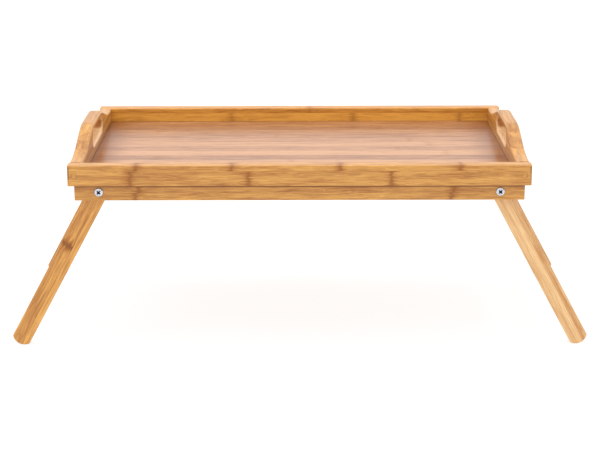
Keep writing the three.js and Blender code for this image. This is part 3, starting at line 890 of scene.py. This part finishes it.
def leg(side_name, end_name, material):
    name = f"{side_name}_{end_name}_leg"
    end = ENDS[end_name]
    pivot = pivot_of(end)
    low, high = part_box(name)
    half = high.z - pivot.z
    middle = Vector((pivot.x, (low.y + high.y) / 2, pivot.z))
    place = Matrix.Translation(middle) @ leg_axes(end)
    foot_centre = (pivot.z - FOOT_RADIUS) / math.cos(splay_of(end))
    foot_angle = math.degrees(math.asin(half / FOOT_RADIUS))
    outline = arc(0, 0, half, 90, 270, 32)
    outline += arc(foot_centre, 0, FOOT_RADIUS, -foot_angle, foot_angle, 24)
    thickness = high.y - low.y
    hole = circle(HOLE_RADIUS, FACETS["small"])[::-1]
    obj = to_object(name, extruded(outline, -thickness / 2, thickness / 2, LEG_EDGE, [hole]))
    crossbar_low, crossbar_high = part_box(f"{end_name}_crossbar")
    crossbar_middle = place.inverted() @ ((crossbar_low + crossbar_high) / 2)
    inward = 1 if side_name == "back" else -1
    radius = TENON["radius"] + TENON["clearance"]
    bottom = thickness / 2 - TENON["length"] - TENON["clearance"]
    mortise = bore(radius, bottom, thickness / 2 + OVERSHOOT)
    at(mortise, Matrix.Diagonal((1, 1, inward, 1)))
    # The mirror image of the bore is inside out.
    bmesh.ops.recalc_face_normals(mortise, faces=mortise.faces)
    at(mortise, Matrix.Translation((crossbar_middle.x, 0, 0)))
    combined(obj, "DIFFERENCE", mortise)
    return finish_piece(obj, name, f"{end_name}_leg_frame", place, material)


def crossbar(end_name, material):
    name = f"{end_name}_crossbar"
    end = ENDS[end_name]
    low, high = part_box(name)
    grain = Vector((0, 1, 0))
    along_leg = leg_axes(end).col[0].to_3d()
    own_axes = Matrix((grain, along_leg, grain.cross(along_leg))).transposed().to_4x4()
    place = Matrix.Translation((low + high) / 2) @ own_axes
    shoulder = high.y - TENON["length"] - CROSSBAR["gap"]
    half_width = CROSSBAR["width"] / 2
    half_thickness = CROSSBAR["thickness"] / 2
    outline = rectangle(-shoulder, shoulder, -half_width, half_width, CROSSBAR["edge"])
    obj = to_object(name, extruded(outline, -half_thickness, half_thickness, CROSSBAR["edge"]))
    radius = TENON["radius"]
    chamfer = TENON["chamfer"]
    profile = [(0, -high.y), (radius - chamfer, -high.y), (radius, -high.y + chamfer)]
    profile += [(radius, high.y - chamfer), (radius - chamfer, high.y), (0, high.y)]
    tenons = at(turned(profile, FACETS["small"]), Matrix.Rotation(math.pi / 2, 4, "Y"))
    combined(obj, "UNION", tenons)
    return finish_piece(obj, name, f"{end_name}_leg_frame", place, material)


for end_name, end in ENDS.items():
    for side_name, side in SIDES.items():
        knots = LEFT_LEG_KNOTS if end < 0 and side < 0 else {}
        tones = LEFT_LEG_TONES if end < 0 else RIGHT_LEG_TONES
        colours = AMBER_WOOD if end < 0 else PALE_WOOD
        wood = bamboo(f"{side_name}_{end_name}_leg_wood", SEEDS["leg"] + 3 * end + side, *colours,
                      STRIPS["leg"], STRIPS["leg"] / 2, tones=tones, tone_spread=0.45,
                      grain_length=1.6, knots=knots, knot_strength=1.0)
        leg(side_name, end_name, wood)
    wood = bamboo(f"{end_name}_crossbar_wood", SEEDS["crossbar"] + end, *PALE_WOOD,
                  STRIPS["crossbar"], STRIPS["crossbar"] / 2)
    crossbar(end_name, wood)


# ---------------------------------------------------------------- hardware

def cross_recess(recess):
    """Two crossed slots that narrow downward, cut from z = 0 along +z."""
    half_length = recess["length"] / 2
    half_width = recess["width"] / 2
    cutters = []
    for turn in (45, -45):
        solid = block(-half_length, half_length, -half_width, half_width, -OVERSHOOT, recess["depth"])
        for vertex in solid.verts:
            if vertex.co.z > 0:
                vertex.co.x *= RECESS_BOTTOM_SHARES["length"]
                vertex.co.y *= RECESS_BOTTOM_SHARES["width"]
        cutters.append(at(solid, Matrix.Rotation(math.radians(turn), 4, "Z")))
    return cutters


def sunk_faces(recess, head, rise):
    """A test for the faces of a recess in a head that has the given radius and domes by rise."""
    margin = 0.05 * MM

    def sunk(face):
        radius = face.center.xy.length
        if radius > recess["length"] / 2 or face.center.z > recess["depth"] + margin:
            return False
        dome = rise * (1 - math.sqrt(1 - (radius / head) ** 2))
        return face.center.z > dome + margin
    return sunk


def pivot_bolt(corner, side, end):
    name = f"{corner}_pivot_bolt"
    low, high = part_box(name)
    outer = high.y if side > 0 else low.y
    place = Matrix.Translation((pivot_of(end).x, outer, pivot_of(end).z)) @ inward_axes(side)
    head = (high.z - low.z) / 2
    length = high.y - low.y
    lower_low, lower_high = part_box(f"{'front' if side < 0 else 'back'}_lower_rail")
    rail_face = lower_high.y if side > 0 else -lower_low.y
    seat = abs(outer) - rail_face - BOLT["seat_gap"]
    rise = seat - BOLT["rim"]
    shank = BOLT["diameter"] / 2
    profile = [(0, 0)]
    for step in range(1, BOLT_CROWN_STEPS + 1):
        angle = math.pi / 2 * step / BOLT_CROWN_STEPS
        profile.append((head * math.sin(angle), rise * (1 - math.cos(angle))))
    profile += [(head, seat - BOLT["chamfer"]), (head - BOLT["chamfer"], seat), (shank, seat)]
    thread_start = length - THREAD["length"]
    profile += [(shank, thread_start), (0, thread_start)]
    obj = to_object(name, turned(profile, FACETS["head"]))
    combined(obj, "DIFFERENCE", *cross_recess(BOLT_RECESS))
    tail = thread(shank, THREAD["depth"], THREAD["pitch"], thread_start - THREAD["overlap"], length)
    combined(obj, "UNION", tail)
    # The faces inside the recess take the dark metal as painted shade.
    sunk = sunk_faces(BOLT_RECESS, head, rise)
    return finish_piece(obj, name, "tray", place, chrome, (painted_recess_shade, sunk))


def ring(name, hole, edge, slot, material):
    """A flat washer with rounded edges."""
    side = -1 if name.startswith("front") else 1
    place = centred(name, inward_axes(side))
    low, high = own_box(name, place)
    outer = circle((high.x - low.x) / 2, FACETS["washer"])
    inner = circle(hole, FACETS["small"])[::-1]
    obj = to_object(name, extruded(outer, low.z, high.z, edge, [inner], 3))
    return finish_piece(obj, name, "tray", place, material)


def lock_nut(corner, side):
    """A hexagon with chamfered corners and a rolled collar, which holds a nylon ring."""
    name = f"{corner}_lock_nut"
    place = centred(name, inward_axes(side))
    low, high = own_box(name, place)
    corner_radius = max(high.x - low.x, high.y - low.y) / 2
    flat_radius = min(high.x - low.x, high.y - low.y) / 2
    base = low.z
    top = base + NUT["hex"]
    start = 0 if high.x - low.x > high.y - low.y else 30
    turn = Matrix.Rotation(math.radians(start), 2)
    hexagon = [turn @ point for point in circle(corner_radius, 6)]
    obj = to_object(name, extruded(hexagon, base, top, NUT["edge"], (), 1))
    chamfer = corner_radius - flat_radius
    limit = [(0, base), (flat_radius, base), (corner_radius, base + chamfer), (corner_radius, top - chamfer)]
    limit += [(flat_radius, top), (0, top)]
    combined(obj, "INTERSECT", turned(limit, FACETS["head"]))
    collar = NUT["collar"]
    rim = NUT["rim"]
    root = base + NUT["root"]
    rolled = [(0, root), (collar, root), (collar, high.z - rim), (collar - rim, high.z), (0, high.z)]
    combined(obj, "UNION", turned(rolled, FACETS["head"]))
    seat = top - INSERT["seat"]
    hole = [(0, base - OVERSHOOT), (BOLT_HOLE, base - OVERSHOOT), (BOLT_HOLE, seat), (INSERT["radius"], seat)]
    hole += [(INSERT["radius"], high.z + OVERSHOOT), (0, high.z + OVERSHOOT)]
    combined(obj, "DIFFERENCE", turned(hole, FACETS["insert"]))
    finish_piece(obj, name, "tray", place, zinc)
    outer = circle(INSERT["radius"] - INSERT["gap"], FACETS["insert"])
    inner = circle(INSERT_HOLE, FACETS["small"])[::-1]
    insert = extruded(outer, seat + INSERT["gap"], high.z - INSERT["sunk"], INSERT["edge"], [inner], 2)
    insert_obj = to_object(f"{corner}_nut_insert", insert)
    finish_piece(insert_obj, None, "tray", place, nylon_insert)


def wood_screw(name):
    low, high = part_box(name)
    middle = (low + high) / 2
    place = Matrix.Translation((middle.x, middle.y, low.z))
    head = (high.x - low.x) / 2
    shank = SCREW["shank"] / 2
    length = high.z - low.z
    core = shank * SCREW_CORE_SHARE
    taper_start, taper_end = (length * share for share in SCREW_TAPER_SHARES)
    profile = [(0, 0), (head - SCREW["chamfer"], 0), (head, SCREW["chamfer"]), (head, SCREW["rim"])]
    profile += [(shank, SCREW["head_depth"]), (shank, taper_start), (core, taper_end)]
    profile += [(core, length - SCREW["tip"]), (0, length)]
    obj = to_object(name, turned(profile, FACETS["small"]))
    combined(obj, "DIFFERENCE", *cross_recess(SCREW_RECESS))
    # The faces inside the recess take the dark metal as painted shade.
    sunk = sunk_faces(SCREW_RECESS, head, 0.0)
    return finish_piece(obj, name, "tray", place, zinc, (painted_recess_shade, sunk))


for side_name, side in SIDES.items():
    for end_name, end in ENDS.items():
        corner = f"{side_name}_{end_name}"
        pivot_bolt(corner, side, end)
        ring(f"{corner}_spacer_washer", BOLT_HOLE, SPACER_EDGE, "nylon", nylon)
        ring(f"{corner}_nut_washer", BOLT_HOLE, WASHER_EDGE, "zinc", zinc)
        lock_nut(corner, side)
    for name in screw_names(f"{side_name}_rail", RAIL_SCREWS):
        wood_screw(name)
for end_name in ENDS:
    for name in screw_names(f"{end_name}_batten", BATTEN_SCREWS):
        wood_screw(name)


# ---------------------------------------------------------------- stage, light and camera

def floor():
    shade = Shade("floor")
    cloud = shade.noise(shade.stretched(1.5, 1.5, 1.5, seed=1.0))
    tint = shade.mix(shade.fit(cloud, *NOISE_RANGE), srgb(140, 140, 139), srgb(146, 146, 146))
    white = {"Emission_Color": (1.0, 1.0, 1.0, 1.0), "Emission_Strength": 0.8}
    material = shade.surface(tint, 0.9, cloud, 0.1 * MM, Specular_IOR_Level=0.1, **white)
    half = 30.0
    mesh = bpy.data.meshes.new("floor")
    corners = [(-half, -half, 0), (half, -half, 0), (half, half, 0), (-half, half, 0)]
    mesh.from_pydata(corners, [], [(0, 1, 2, 3)])
    mesh.materials.append(material)
    obj = bpy.data.objects.new("floor", mesh)
    bpy.context.scene.collection.objects.link(obj)


def softbox(name, place, target, size, power):
    """A square area light aimed at a point."""
    light = bpy.data.lights.new(name, "AREA")
    light.shape = "SQUARE"
    light.size = size
    light.energy = power
    obj = bpy.data.objects.new(name, light)
    obj.location = place
    obj.rotation_euler = (Vector(target) - Vector(place)).to_track_quat("-Z", "Y").to_euler()
    bpy.context.scene.collection.objects.link(obj)


def surroundings(strength):
    """The same white light from all round."""
    world = bpy.data.worlds.new("studio")
    world.use_nodes = True
    background = world.node_tree.nodes["Background"]
    background.inputs["Color"].default_value = (1.0, 1.0, 1.0, 1.0)
    background.inputs["Strength"].default_value = strength
    bpy.context.scene.world = world


# The camera that was fitted to the photo: where it stands, its angles in degrees, and its lens.
CAMERA_PLACE = (0.00096, -1.73624, 0.6254)
CAMERA_ANGLES = {"down": 16.83, "turn": 0.02, "roll": -0.12}
CAMERA_LENS = {"focal_mm": 91.64, "sensor_mm": 36.0}
CLIP_END = 100.0


def camera():
    data = bpy.data.cameras.new("camera")
    data.sensor_width = CAMERA_LENS["sensor_mm"]
    data.lens = CAMERA_LENS["focal_mm"]
    data.clip_end = CLIP_END
    obj = bpy.data.objects.new("camera", data)
    tilt = Matrix.Rotation(math.radians(90 - CAMERA_ANGLES["down"]), 4, "X")
    turn = Matrix.Rotation(math.radians(CAMERA_ANGLES["turn"]), 4, "Z")
    roll = Matrix.Rotation(math.radians(CAMERA_ANGLES["roll"]), 4, "Z")
    obj.matrix_world = Matrix.Translation(CAMERA_PLACE) @ turn @ tilt @ roll
    bpy.context.scene.collection.objects.link(obj)
    bpy.context.scene.camera = obj


floor()
surroundings(strength=1.0)
TRAY_MIDDLE = (0, 0, 0.15)
softbox("key", (-0.9, -0.7, 1.9), TRAY_MIDDLE, size=0.9, power=5)
softbox("overhead", (0, 0.3, 2.2), TRAY_MIDDLE, size=1.5, power=20)
camera()
bpy.context.scene.view_settings.view_transform = "Standard"
